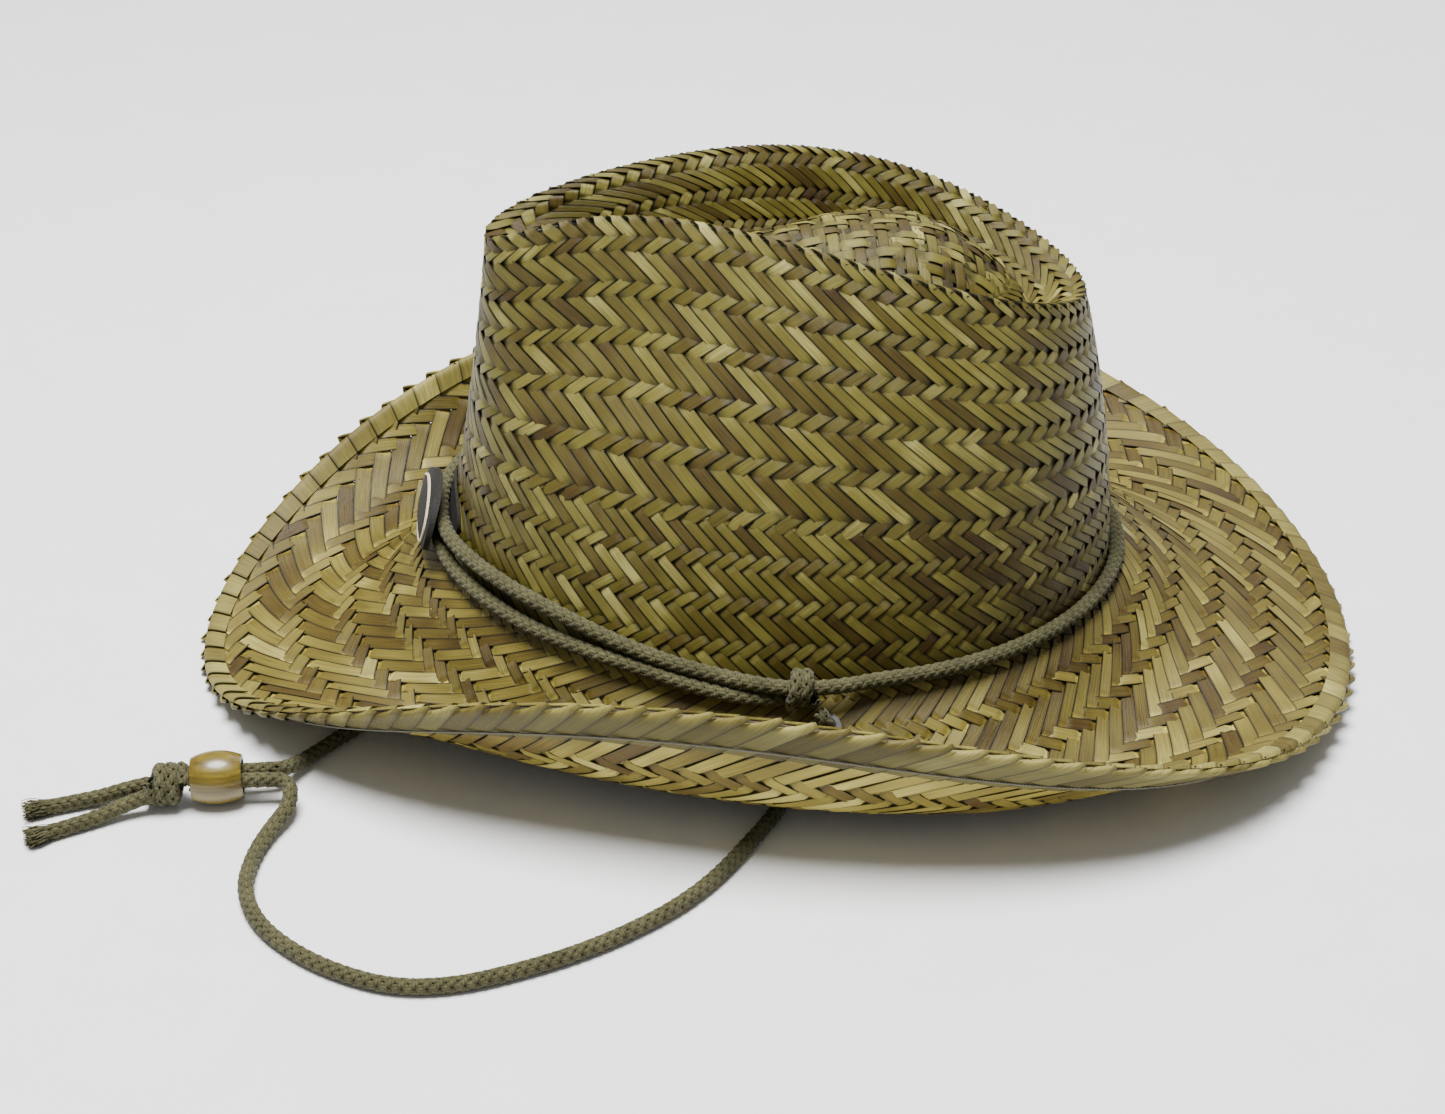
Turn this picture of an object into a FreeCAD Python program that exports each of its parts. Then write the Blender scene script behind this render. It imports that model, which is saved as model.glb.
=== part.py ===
import FreeCAD, Part
import math
import os
import Sketcher
from FreeCAD import Placement, Rotation, Vector

# A woven straw hat with a rolled brim and a chin cord, standing on its brim.
# +Z is up, the front of the hat faces -Y, the wearer's left is +X, lengths are millimetres.

SIZES = [
    ("head_half_length", 105.0, "crown at the head line, front to back, middle of the straw"),
    ("head_half_width", 86.0, "crown at the head line, side to side, middle of the straw"),
    ("straw_thickness", 1.6, "woven straw, two layers pressed flat"),
    ("base_height", 31.2, "head line above the lowest point of the brim"),
    ("base_pitch", 5.4, "the head line is this much higher at the front than at the middle"),
    ("base_saddle", 0.9, "the head line is lower at the sides"),
    ("rim_half_length", 183.7, "rim, front to back"),
    ("rim_half_width", 142.1, "rim, side to side, before the sides roll in"),
    ("rim_forward", 7.3, "the rim sits this far forward of the head"),
    ("rim_rear_flare", 20.0, "the brim is wider behind the middle"),
    ("rim_square", 7.6, "the brim sides are fuller than an ellipse"),
    ("rim_side_rise", 25.9, "half of what the sides of the rim stand above its ends"),
    ("rim_side_lead", 3.6, "the front quarters of the rim stand higher than the rear ones"),
    ("ridge_half_length", 90.5, "ridge round the crease of the crown"),
    ("ridge_forward", 4.4, "the ridge sits this far forward of the head"),
    ("ridge_height", 137.0, "mean height of the ridge"),
    ("ridge_front_rise", 12.9, "the ridge is higher at the front"),
    ("ridge_side_rise", 11.3, "the ridge is higher at the sides"),
    ("ridge_width", 34.5, "half width of the ridge at the middle"),
    ("ridge_pinch", 14.0, "how much narrower it is in front and wider behind"),
    ("island_height", 138.0, "top of the raised centre of the crown"),
    ("island_back", 25.0, "the raised centre sits this far behind the middle of the head"),
    ("trough_height", 115.5, "bottom of the crease"),
    ("side_bulge", 6.0, "the crown sides curve outward by this much"),
    ("hem_width", 15.0, "straw folded under at the rim"),
    ("hem_thickness", 1.4, "one folded layer"),
    ("wire_diameter", 1.4, "wire in the rim"),
    ("fold_inside", 1.0, "inside of the fold, back from the rim"),
    ("thread_diameter", 0.6, "sewing thread"),
    ("sweatband_height", 30.0, "inner band"),
    ("sweatband_thickness", 1.2, "inner band"),
    ("layer_gap", 0.15, "clearance between layers that lie on each other"),
    ("cord_diameter", 4.6, "braided cotton cord"),
    ("cord_gap", 0.3, "clearance between a cord and what it lies on"),
    ("band_low", -0.3, "underside of the cord above the head line, behind"),
    ("band_rise", 9.0, "the loop rides this much higher in front"),
    ("knot_angle", 88.0, "degrees from the front to the hitch knot"),
    ("knot_length", 8.4, "hitch knot along the band"),
    ("knot_diameter", 12.0, "hitch knot"),
    ("eyelet_angle", 92.3, "degrees from the front to the eyelet"),
    ("eyelet_reach", 13.5, "eyelet from the head line, along the brim"),
    ("eyelet_slack", 0.8, "the hole in the eyelet is this much wider than the cord"),
    ("eyelet_rim", 1.7, "width of the flange round the barrel of the eyelet"),
    ("eyelet_wall", 0.4, "metal thickness"),
    ("eyelet_hole_gap", 0.15, "clearance round the barrel in the straw"),
    ("flange_gap", 0.35, "the flange clears the crown of the curved straw"),
    ("bead_diameter", 16.0, "wooden bead"),
    ("bead_end_diameter", 12.6, "flat ends of the bead"),
    ("bead_length", 15.0, "wooden bead"),
    ("pair_gap", 0.1, "between the two cords where they lie side by side"),
    ("bead_slack", 0.8, "the hole in the bead is this much wider than the two cords"),
    ("bead_travel", 6.0, "how far the bead slides where the cords lie side by side"),
    ("bead_x", 80.2, "bead beside the brim"),
    ("bead_knot_gap", 0.3, "bead to end knot at rest"),
    ("knot_y", -182.7, "front face of the end knot"),
    ("floor_gap", 0.1, "under what lies loose beside the hat"),
    ("end_knot_diameter", 14.0, "end knot"),
    ("end_knot_end", 11.2, "flat ends of the end knot"),
    ("end_knot_length", 11.5, "end knot"),
    ("patch_width", 36.0, "leather patch"),
    ("patch_height", 22.0, "leather patch"),
    ("patch_thickness", 1.8, "leather patch"),
    ("patch_round", 20.0, "curve of the patch up and down"),
    ("patch_bend", 75.0, "curve of the patch round the crown"),
    ("patch_tilt", 16.0, "degrees the patch leans back"),
    ("patch_lift", 10.5, "middle of the patch above the head line at the front"),
    ("backing_thickness", 0.8, "backing under the cords"),
    ("backing_bend", 71.0, "curve of the backing"),
    ("stitch_inset", 2.2, "patch stitching inside the edge"),
    ("origin_back", 2.3, "moves the middle of the hat onto the origin"),
]

doc = FreeCAD.newDocument("straw_hat")
sheet = doc.addObject("Spreadsheet::Sheet", "sizes")
for row, (name, value, note) in enumerate(SIZES, start=1):
    sheet.set("A%d" % row, name)
    sheet.set("B%d" % row, str(value))
    sheet.setAlias("B%d" % row, name)
    sheet.set("C%d" % row, note)
doc.recompute()


def size(name):
    return float(sheet.get(name))


STEPS = 72          # meridians round the hat
sin, cos, pi = math.sin, math.cos, math.pi
nodes = []


# ---- the surfaces of the hat, at the middle of the straw -------------------------------------

def mix(a, b, share):
    return a + (b - a) * share


def head_line(t):
    return Vector(size("head_half_width") * sin(t),
                  -size("head_half_length") * cos(t),
                  size("base_height") + size("base_pitch") * cos(t)
                  + size("base_saddle") * cos(2 * t))


def rim(t):
    x = size("rim_half_width") * sin(t) - size("rim_rear_flare") * sin(2 * t)
    x += size("rim_square") * sin(3 * t)
    y = -size("rim_forward") - size("rim_half_length") * cos(t)
    y += 5.1 * cos(2 * t) - 1.3 * cos(3 * t)
    z = size("rim_side_rise") * (1 - cos(2 * t))
    z += size("rim_side_lead") * (cos(t) - cos(3 * t))
    return Vector(x, y, z)


def brim(t, s):
    """From the head line, s = 0, dipping and then rolling up to the rim, s = 1."""
    start, end = head_line(t), rim(t)
    out = Vector(end.x - start.x, end.y - start.y, 0)
    reach = out.Length
    out.normalize()
    fall = math.radians(39.2 + 5.3 * cos(t) - 11.9 * cos(2 * t))
    climb = math.radians(36.0 + 4.5 * cos(t) - 46.5 * cos(2 * t))
    first, last = 30.6, 61.2
    u = [0, first * cos(fall), reach - last * cos(climb), reach]
    z = [start.z, start.z - first * sin(fall), end.z - last * sin(climb), end.z]
    w = [(1 - s) ** 3, 3 * s * (1 - s) ** 2, 3 * s * s * (1 - s), s ** 3]
    run = sum(a * b for a, b in zip(u, w))
    return Vector(start.x, start.y, 0) + out * run + Vector(0, 0, sum(a * b for a, b in zip(z, w)))


def ridge(t):
    x = size("ridge_width") * sin(t) - size("ridge_pinch") * sin(2 * t)
    x += 2.9 * sin(3 * t) + 2.3 * sin(4 * t)
    y = -size("ridge_forward") - size("ridge_half_length") * cos(t) + 7.0 * cos(2 * t)
    z = size("ridge_height") + size("ridge_front_rise") * cos(t)
    z -= size("ridge_side_rise") * cos(2 * t)
    return Vector(x, y, z + 2.0)


def crown(t, v):
    """v from 0 at the head line to 1 on the ridge, then to 2 at the middle of the top."""
    if v <= 1:
        low, high = head_line(t), ridge(t)
        point = mix(low, high, v)
        out = Vector(sin(t), -cos(t), 0)
        swell = size("side_bulge") * sin(t) ** 2 * sin(pi * v ** 0.8)
        swell += 2.5 * v * (1 - v) * 4 * max(0.0, -cos(t)) - 1.2 * sin(pi * v) * max(0.0, cos(t))
        dent = -6.0 * math.exp(-((abs(math.degrees(t)) - 58) / 20) ** 2 - ((v - 0.74) / 0.22) ** 2)
        return point + out * (swell + dent * (1 - v ** 6))
    s = v - 1
    low, top = ridge(t), Vector(0, size("island_back"), size("island_height"))
    crease = size("trough_height") + 5.7 * cos(t) + 9.0 * sin(t) ** 2
    where = 0.36 + 0.11 * cos(t)
    point = mix(low, top, s)
    if s < where:
        height = mix(crease, low.z, (1 + cos(pi * s / where)) / 2)
    else:
        height = mix(crease, top.z, 1 - (1 - (s - where) / (1 - where)) ** 2.6)
    return Vector(point.x, point.y, height)


def normal(surface, t, v, side=1.0):
    """Outward unit normal of a surface by differences."""
    e = 1e-3
    a = surface(t + e, v) - surface(t - e, v)
    b = surface(t, min(v + e, 1.999)) - surface(t, max(v - e, 0.0))
    n = a.cross(b)
    n.normalize()
    return n * side


def crown_at(t, v, off):
    if v > 1.995:
        return crown(t, 2.0) + Vector(0, 0, off)
    return crown(t, v) + normal(crown, t, v) * off


def brim_at(t, s, off):
    e = 1e-3
    a = brim(t + e, s) - brim(t - e, s)
    b = brim(t, min(s + e, 1.0)) - brim(t, max(s - e, 0.0))
    n = a.cross(b)
    n.normalize()
    if n.z < 0:
        n = n * -1
    return brim(t, s) + n * off


brim_lines = {}


def brim_share(t, length):
    """The value of s at a length along the brim from the head line, or back from the rim."""
    n = 60
    if t not in brim_lines:
        brim_lines[t] = [brim(t, k / n) for k in range(n + 1)]
    points = list(brim_lines[t])
    if length < 0:
        points.reverse()
    left = abs(length)
    for k in range(n):
        step = (points[k + 1] - points[k]).Length
        if left <= step:
            s = (k + left / step) / n
            return 1 - s if length < 0 else s
        left -= step
    return 0.0 if length < 0 else 1.0


half_straw = size("straw_thickness") / 2
angles = [2 * pi * k / STEPS for k in range(STEPS)]


# ---- makers ----------------------------------------------------------------------------------

def keep(obj, label):
    obj.Label = label
    nodes.append(obj)
    return obj


def solid_feature(label, shape, where=None):
    obj = doc.addObject("Part::Feature", label)
    obj.Shape = shape
    if where is not None:
        obj.Placement = where
    return keep(obj, label)


def ring_shape(section):
    """A closed ring round the hat: section(t) gives the closed loop of poles at an angle."""
    poles = [[p + SHIFT for p in section(t)] for t in angles]
    across = len(poles[0])
    surface = Part.BSplineSurface()
    surface.buildFromPolesMultsKnots(poles, [1] * (STEPS + 1), [1] * (across + 1),
                                     list(range(STEPS + 1)), list(range(across + 1)),
                                     True, True, 3, 3)
    return closed_solid(surface)


def closed_solid(surface):
    shape = Part.Solid(Part.Shell([surface.toShape()]))
    if shape.Volume < 0:
        shape.reverse()
    return shape


def thread_ring(centre, diameter, corners=12):
    """Poles of a round section about a centre line, square to it."""
    r = diameter / 2 / ((4 + 2 * cos(2 * pi / corners)) / 6)

    def section(t):
        along = centre(t + 1e-3) - centre(t - 1e-3)
        along.normalize()
        side = along.cross(Vector(0, 0, 1))
        side.normalize()
        up = side.cross(along)
        middle = centre(t)
        return [middle + side * (r * cos(2 * pi * k / corners)) + up * (r * sin(2 * pi * k / corners))
                for k in range(corners)]
    return section


def lathe(label, outline, arcs=None):
    """A turned body: outline of (radius, height) expressions, arcs {edge: radius expression}."""
    arcs = arcs or {}
    body = doc.addObject("PartDesign::Body", label)
    sketch = body.newObject("Sketcher::SketchObject", label + "_profile")
    plane = [f for f in body.Origin.OriginFeatures if f.Role == "XZ_Plane"][0]
    sketch.AttachmentSupport = (plane, [""])
    sketch.MapMode = "FlatFace"

    def number(expression):
        text = expression
        for name, value, note in sorted(SIZES, key=lambda row: -len(row[0])):
            text = text.replace("sizes." + name, repr(size(name)))
        return arithmetic(text)

    corners = [Vector(number(r), number(h), 0) for r, h in outline]
    count = len(corners)
    for k in range(count):
        a, b = corners[k], corners[(k + 1) % count]
        if k in arcs:
            radius = number(arcs[k])
            chord = b - a
            sag = radius - math.sqrt(radius ** 2 - (chord.Length / 2) ** 2)
            out = Vector(chord.y, -chord.x, 0)
            out.normalize()
            middle = (a + b) * 0.5 + out * sag
            sketch.addGeometry(Part.Arc(a, middle, b), False)
        else:
            sketch.addGeometry(Part.LineSegment(a, b), False)
    for k in range(count):
        sketch.addConstraint(Sketcher.Constraint("Coincident", k, 2, (k + 1) % count, 1))
    for k, (r, h) in enumerate(outline):
        if number(r) == 0:
            sketch.addConstraint(Sketcher.Constraint("PointOnObject", k, 1, -2))
        else:
            c = sketch.addConstraint(Sketcher.Constraint("DistanceX", -1, 1, k, 1, number(r)))
            sketch.setExpression("Constraints[%d]" % c, r)
        if number(h) == 0:
            sketch.addConstraint(Sketcher.Constraint("PointOnObject", k, 1, -1))
        else:
            c = sketch.addConstraint(Sketcher.Constraint("DistanceY", -1, 1, k, 1, number(h)))
            sketch.setExpression("Constraints[%d]" % c, h)
    for k, r in arcs.items():
        c = sketch.addConstraint(Sketcher.Constraint("Radius", k, number(r)))
        sketch.setExpression("Constraints[%d]" % c, r)
    turn = body.newObject("PartDesign::Revolution", label + "_turn")
    turn.Profile = sketch
    turn.ReferenceAxis = (sketch, ["V_Axis"])
    turn.Angle = 360
    body.Tip = turn
    doc.recompute()
    return keep(body, label)


def arithmetic(text):
    """The value of an expression of numbers with + - * / and brackets."""
    return float(FreeCAD.Units.Quantity(text).Value)


def tube_shape(points, diameter, label):
    """A cord: straight runs joined by tangent arcs, as large as the runs allow."""
    edges, radii, start = [], [], points[0]
    for a, b, c in zip(points, points[1:], points[2:]):
        into, away = b - a, c - b
        cut = 0.45 * min(into.Length, away.Length)
        half_turn = into.getAngle(away) / 2
        into.normalize()
        away.normalize()
        radius = cut / math.tan(half_turn)
        inward = away - into
        inward.normalize()
        p, q = b - into * cut, b + away * cut
        middle = b + inward * (radius / cos(half_turn) - radius)
        edges += [Part.LineSegment(start, p).toShape(), Part.Arc(p, middle, q).toShape()]
        radii.append(round(radius, 1))
        start = q
    edges.append(Part.LineSegment(start, points[-1]).toShape())
    path = Part.Wire(edges)
    ring = Part.Circle(points[0], points[1] - points[0], diameter / 2).toShape()
    shape = path.makePipeShell([Part.Wire([ring])], True, False)
    length = sum(e.Length for e in edges)
    print("%s: length %.1f, volume share %.4f, radii %s"
          % (label, length, shape.Volume / (pi * diameter ** 2 / 4 * length), radii))
    return shape


def thin_ring(centre, diameter, label, corners=72):
    """A closed ring of thread or wire round the hat, which cuts its corners by about 0.1."""
    points = [centre(2 * pi * k / corners) + SHIFT for k in range(corners)]
    join = (points[-1] + points[0]) * 0.5
    return tube_shape([join] + points + [join], diameter, label)


def stand(point, direction):
    return Placement(point, Rotation(Vector(0, 0, 1), direction))


# ---- straw: crown, brim, hem -----------------------------------------------------------------

def wall_length(t):
    return (ridge(t) - head_line(t)).Length


def on_wall(t, up, off):
    return crown_at(t, up / wall_length(t), off)


def on_brim(t, length, off):
    return brim_at(t, brim_share(t, length), off)


def by_rim(t, back, off):
    """A point at a length back from the rim; below zero it is beyond the rim."""
    if back > 0:
        return brim_at(t, brim_share(t, -back), off)
    tip = brim(t, 1.0) - brim(t, 0.999)
    tip.normalize()
    return brim_at(t, 1.0, off) + tip * -back


gap = size("layer_gap")
wire = size("wire_diameter")
fold = half_straw + gap                      # inside of the folded hem below the brim
wire_back = size("fold_inside") + gap + wire / 2
brim_end = wire_back + wire / 2 + gap + 0.1  # the straw ends behind the wire
width, thick = size("hem_width"), size("hem_thickness")
thread = size("thread_diameter")
stitch_off = fold + thick + thread / 2 + 0.02
# the hat stands on the lowest point of its hem
lowest = min(by_rim(t, width * k / 12, -fold - thick).z for t in angles for k in range(12))
SHIFT = Vector(0, size("origin_back"), -lowest)
hem_loop = [(width, fold), (width, fold + thick), (width * 0.75, fold + thick),
            (width * 0.5, fold + thick), (width * 0.25, fold + thick), (2.0, fold + thick),
            (0.4, fold + thick), (-0.6, fold + 0.4), (-0.8, 0.0), (-0.5, -half_straw * 0.8),
            (0.3, -half_straw - 0.3), (1.0, -half_straw), (0.9, -0.3), (0.75, 0.3),
            (0.9, fold - 0.1), (2.0, fold), (width * 0.25, fold), (width * 0.5, fold),
            (width * 0.75, fold)]


def hem_section(t):
    return [by_rim(t, a, -off) for a, off in hem_loop]


SHIFT.z -= min(p.z for p in ring_shape(hem_section).tessellate(0.05)[0])

walls = [0.1, 0.2, 0.32, 0.44, 0.56, 0.68, 0.8, 0.9, 0.97]
tops = [1.04, 1.12, 1.21, 1.3, 1.4, 1.5, 1.6, 1.72, 1.86, 2.0]


def crown_meridian(t):
    foot = (half_straw + gap) / wall_length(t)
    up = [foot, foot + 0.02] + walls + tops
    outer = [crown_at(t, v, half_straw) for v in reversed(up)]
    inner = [crown_at(t, v, -half_straw) for v in up]
    return outer + [crown_at(t, foot, 0)] + inner


rows = [[p + SHIFT for p in crown_meridian(t)] for t in angles]
count = len(rows[0])
surface = Part.BSplineSurface()
surface.buildFromPolesMultsKnots(rows, [1] * (STEPS + 1), [4] + [1] * (count - 4) + [4],
                                 list(range(STEPS + 1)), list(range(count - 2)),
                                 True, False, 3, 3)
solid_feature("straw_crown", closed_solid(surface))

shares = [k / 13 for k in range(14)]


def brim_section(t):
    first, last = brim_share(t, 0.02), brim_share(t, -brim_end)
    line = [mix(first, last, s) for s in shares]
    top = [brim_at(t, s, half_straw) for s in line]
    under = [brim_at(t, s, -half_straw) for s in reversed(line)]
    return top + [brim_at(t, last, 0)] + under + [brim_at(t, first, 0)]


brim_solid = ring_shape(brim_section)

solid_feature("brim_hem", ring_shape(hem_section))
solid_feature("brim_wire", thin_ring(lambda t: by_rim(t, wire_back, 0), wire,
                                     "brim_wire"))
solid_feature("hem_stitching", thin_ring(lambda t: by_rim(t, width * 0.7, -stitch_off - 0.12),
                                         thread, "hem_stitching"))

# ---- eyelets, one on each side ---------------------------------------------------------------

SIDES = (("left", 1), ("right", -1))


def across(point, side):
    return Vector(point.x * side, point.y, point.z)


eye_t = math.radians(size("eyelet_angle"))
eye = on_brim(eye_t, size("eyelet_reach"), 0) + SHIFT
eye_normal = on_brim(eye_t, size("eyelet_reach"), 1) + SHIFT - eye
metal = "sizes.eyelet_wall"
bore = "(sizes.cord_diameter + sizes.eyelet_slack) / 2"
barrel = bore + " + sizes.eyelet_wall"
flange = barrel + " + sizes.eyelet_rim"
# below the flange: gap, straw, gap, washer and the turned end of the barrel
reach = "2 * sizes.flange_gap + sizes.straw_thickness + 2 * sizes.eyelet_wall"
middle = size("straw_thickness") / 2 + size("flange_gap") + 2 * size("eyelet_wall")
for side_name, side in SIDES:
    normal_here = across(eye_normal, side)
    foot = across(eye, side) - normal_here * middle
    eyelet = lathe("eyelet_" + side_name, [
        (bore, "0"), (barrel, "0"), (barrel, reach), (flange, reach),
        (flange, reach + " + sizes.eyelet_wall * 0.6"),
        (bore + " + sizes.eyelet_wall * 2", reach + " + sizes.eyelet_wall * 1.8"),
        (bore, reach + " + sizes.eyelet_wall * 1.2")])
    eyelet.Placement = stand(foot, normal_here)
    washer = lathe("eyelet_washer_" + side_name, [
        (barrel + " + sizes.eyelet_hole_gap / 3", "sizes.eyelet_wall / 2"),
        (flange, "sizes.eyelet_wall / 2"), (flange, "sizes.eyelet_wall * 1.5"),
        (barrel + " + sizes.eyelet_hole_gap / 3", "sizes.eyelet_wall * 1.5")])
    washer.Placement = stand(foot, normal_here)
    hole = Part.makeCylinder((size("cord_diameter") + size("eyelet_slack")) / 2
                             + size("eyelet_wall") + size("eyelet_hole_gap"), 30,
                             across(eye, side) - normal_here * 15, normal_here)
    brim_solid = brim_solid.cut(hole)
if brim_solid.ShapeType == "Compound":
    brim_solid = brim_solid.Solids[0]
solid_feature("straw_brim", brim_solid)

# ---- sweatband -------------------------------------------------------------------------------

band_low = 3.0
band_high = band_low + size("sweatband_height")
band_out = -half_straw - gap - 0.1
band_in = band_out - size("sweatband_thickness")


def sweatband_section(t):
    ups = [mix(band_low, band_high, k / 5) for k in range(6)]
    return ([on_wall(t, u, band_out) for u in ups]
            + [on_wall(t, u, band_in) for u in reversed(ups)])


solid_feature("sweatband", ring_shape(sweatband_section))
solid_feature("sweatband_stitching", thin_ring(
    lambda t: on_wall(t, band_low + 3.0, band_in - thread / 2 - 0.1), thread,
    "sweatband_stitching"))

# ---- cord round the crown, front run of the chin cord, hitch knots ---------------------------

cord = size("cord_diameter")
lie = half_straw + size("cord_gap") + cord / 2
rest_height = cord / 2 + size("band_low")
backing = size("backing_thickness") + gap
knot_t = math.radians(size("knot_angle"))
knot_off = half_straw + 0.2 + size("knot_diameter") / 2


def ease(x):
    x = max(0.0, min(1.0, x))
    return x * x * (3 - 2 * x)


def degrees_from_front(t):
    return abs((math.degrees(t) + 180) % 360 - 180)


def band_line(t):
    turn = degrees_from_front(t)
    rise = ease((84 - turn) / 44) * (1 - 0.3 * math.exp(-(turn / 22) ** 2))
    push = math.exp(-((turn - size("knot_angle")) / 8.5) ** 4) * (knot_off - lie)
    push += (backing + 0.3) * math.exp(-(turn / 20) ** 4)
    return on_wall(t, rest_height + size("band_rise") * rise, lie + push)


solid_feature("band_cord", ring_shape(thread_ring(band_line, cord, 12)))

# the middle line of the band as the solid has it
band_curve = Part.BSplineCurve()
band_curve.buildFromPolesMultsKnots([band_line(t) for t in angles], [1] * (STEPS + 1),
                                    list(range(STEPS + 1)), True, 3)
at_knot = band_curve.parameter(band_line(knot_t))
hitch = band_curve.value(at_knot)
hitch_axis = band_curve.value(at_knot + 0.4) - band_curve.value(at_knot - 0.4)
hitch_axis.normalize()
if hitch_axis.y < 0:
    hitch_axis = hitch_axis * -1
half_knot = size("knot_length") / 2
down = on_brim(knot_t, 6, 0) - hitch
down = down - hitch_axis * down.dot(hitch_axis)
down.normalize()
clear = on_brim(knot_t, 6, 0.5) - on_brim(knot_t, 6, 0)
run_end = hitch - hitch_axis * (half_knot + 0.7) + down * (cord + 0.7) + clear


def front_point(turn):
    """Beside the straw, and below the band by at least a cord where the two lie together."""
    t = math.radians(turn)
    band = band_curve.value(band_curve.parameter(band_line(t)))
    push = (backing + 0.3) * math.exp(-(turn / 20) ** 4)
    rest = on_wall(t, rest_height, lie + 0.45 + push)
    near = cord + 0.6
    if (rest - band).Length >= near:
        return rest
    straw = [on_wall(t, 0.5 * k, 0) for k in range(24)] + [on_brim(t, 0.5 * k, 0) for k in range(30)]
    fall = on_wall(t, 1, 0) - on_wall(t, 4, 0)
    out = on_wall(t, 2, 1) - on_wall(t, 2, 0)
    fall.normalize()
    for step in range(120):
        turned = math.radians(step)
        point = band + (fall * cos(turned) + out * sin(turned)) * near
        if min((point - q).Length for q in straw) > lie + 0.45:
            return point
    return rest


half_run = [front_point(turn) for turn in (0, 9, 18, 27, 36, 45, 54, 62, 69, 75, 80)] + [run_end]
front_run = [across(p, -1) for p in reversed(half_run[1:])] + half_run
solid_feature("front_cord", tube_shape([p + SHIFT for p in front_run], cord, "front_cord"))

hole, outer = "sizes.cord_diameter / 2 + 0.3", "sizes.knot_diameter / 2"
wrap = "sizes.knot_length / 4 * 1.03"
for side_name, side in SIDES:
    axis = Vector(hitch_axis.x * side, hitch_axis.y, hitch_axis.z)
    knot = lathe("hitch_knot_" + side_name, [
        (hole, "0"), (outer + " - 1.6", "0"), (outer + " - 1.6", "sizes.knot_length / 2"),
        (outer + " - 1.6", "sizes.knot_length"), (hole, "sizes.knot_length")],
        {1: wrap, 2: wrap})
    knot.Placement = stand(across(hitch + SHIFT, side) - axis * half_knot, axis)

# ---- chin cord: two free halves that meet in the bead and the end knot -----------------------

floor = cord / 2 + size("floor_gap")
bead_y = size("knot_y") + size("bead_knot_gap")
bead_z = size("bead_diameter") / 2 + size("floor_gap")
pitch = (cord + size("pair_gap")) / 2       # half the distance between the two cords
above = eye + eye_normal * 7.0
below = eye - eye_normal * 7.0
leave = above - (hitch + SHIFT)
leave.normalize()
first = hitch + SHIFT + leave * (size("knot_diameter") / 2 + 2.6)


def straight(side):
    x = size("bead_x") + side * pitch
    return [Vector(x, bead_y + size("bead_length") + size("bead_travel") + 3.0, bead_z), Vector(x, size("knot_y"), bead_z)]


ROUTES = {
    "left": [(84.5, 1.5, 6.4), (89.0, -3.0, 3.4), (96.5, -6.5, floor), (107.0, -10.5, floor),
             (121.5, -20.5, floor), (136.5, -31.5, floor), (148.5, -44.0, floor),
             (158.0, -58.5, floor), (165.5, -73.5, floor), (171.0, -89.5, floor),
             (175.0, -106.0, floor), (174.0, -122.5, floor), (166.5, -137.5, floor),
             (156.0, -150.5, floor), (142.5, -161.0, floor), (127.0, -165.5, floor),
             (112.0, -163.5, floor), (101.0, -159.0, 3.2), (92.5, -153.2, 5.2),
             (84.6, -153.2, 7.4)],
    "right": [(-85.0, 2.5, 5.8), (-80.0, -1.0, 2.9), (-70.0, -4.5, floor), (-54.5, -5.5, floor),
              (-37.5, -0.5, floor), (-20.5, 3.5, floor), (-3.5, 1.0, floor),
              (10.5, -8.5, floor), (19.0, -23.0, floor), (20.5, -40.5, floor),
              (17.0, -58.5, floor), (15.5, -76.5, floor), (20.5, -94.5, floor),
              (30.5, -110.5, floor), (42.5, -125.0, floor), (52.5, -136.5, floor),
              (60.5, -144.5, floor), (67.5, -150.2, 3.2), (73.2, -154.0, 5.2),
              (77.2, -157.0, 7.4)],
}
for side_name, side in SIDES:
    points = [across(first, side), across(above, side), across(below, side)]
    points += [Vector(*p) for p in ROUTES[side_name]] + straight(side)
    solid_feature("chin_cord_" + side_name,
                  tube_shape(points, cord, "chin_cord_" + side_name))

back = Vector(0, -1, 0)
bead_bore = "sizes.cord_diameter + (sizes.pair_gap + sizes.bead_slack) / 2"
bead = lathe("bead", [
    (bead_bore, "0"), ("sizes.bead_end_diameter / 2", "0"),
    ("sizes.bead_end_diameter / 2", "sizes.bead_length"), (bead_bore, "sizes.bead_length")],
    {1: "((sizes.bead_length / 2)^2 + ((sizes.bead_diameter - sizes.bead_end_diameter) / 2)^2)"
        " / (sizes.bead_diameter - sizes.bead_end_diameter)"})
bead.Placement = stand(Vector(size("bead_x"), bead_y + size("bead_length"), bead_z), back)

knot_z = size("end_knot_diameter") / 2 + size("floor_gap")
end_knot = lathe("end_knot", [
    ("0", "0"), ("sizes.end_knot_end / 2", "0"),
    ("sizes.end_knot_end / 2", "sizes.end_knot_length"), ("0", "sizes.end_knot_length")],
    {1: "((sizes.end_knot_length / 2)^2 + ((sizes.end_knot_diameter - sizes.end_knot_end) / 2)^2)"
        " / (sizes.end_knot_diameter - sizes.end_knot_end)"})
end_knot.Placement = stand(Vector(size("bead_x") + 0.8, size("knot_y"), knot_z), back)

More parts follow.
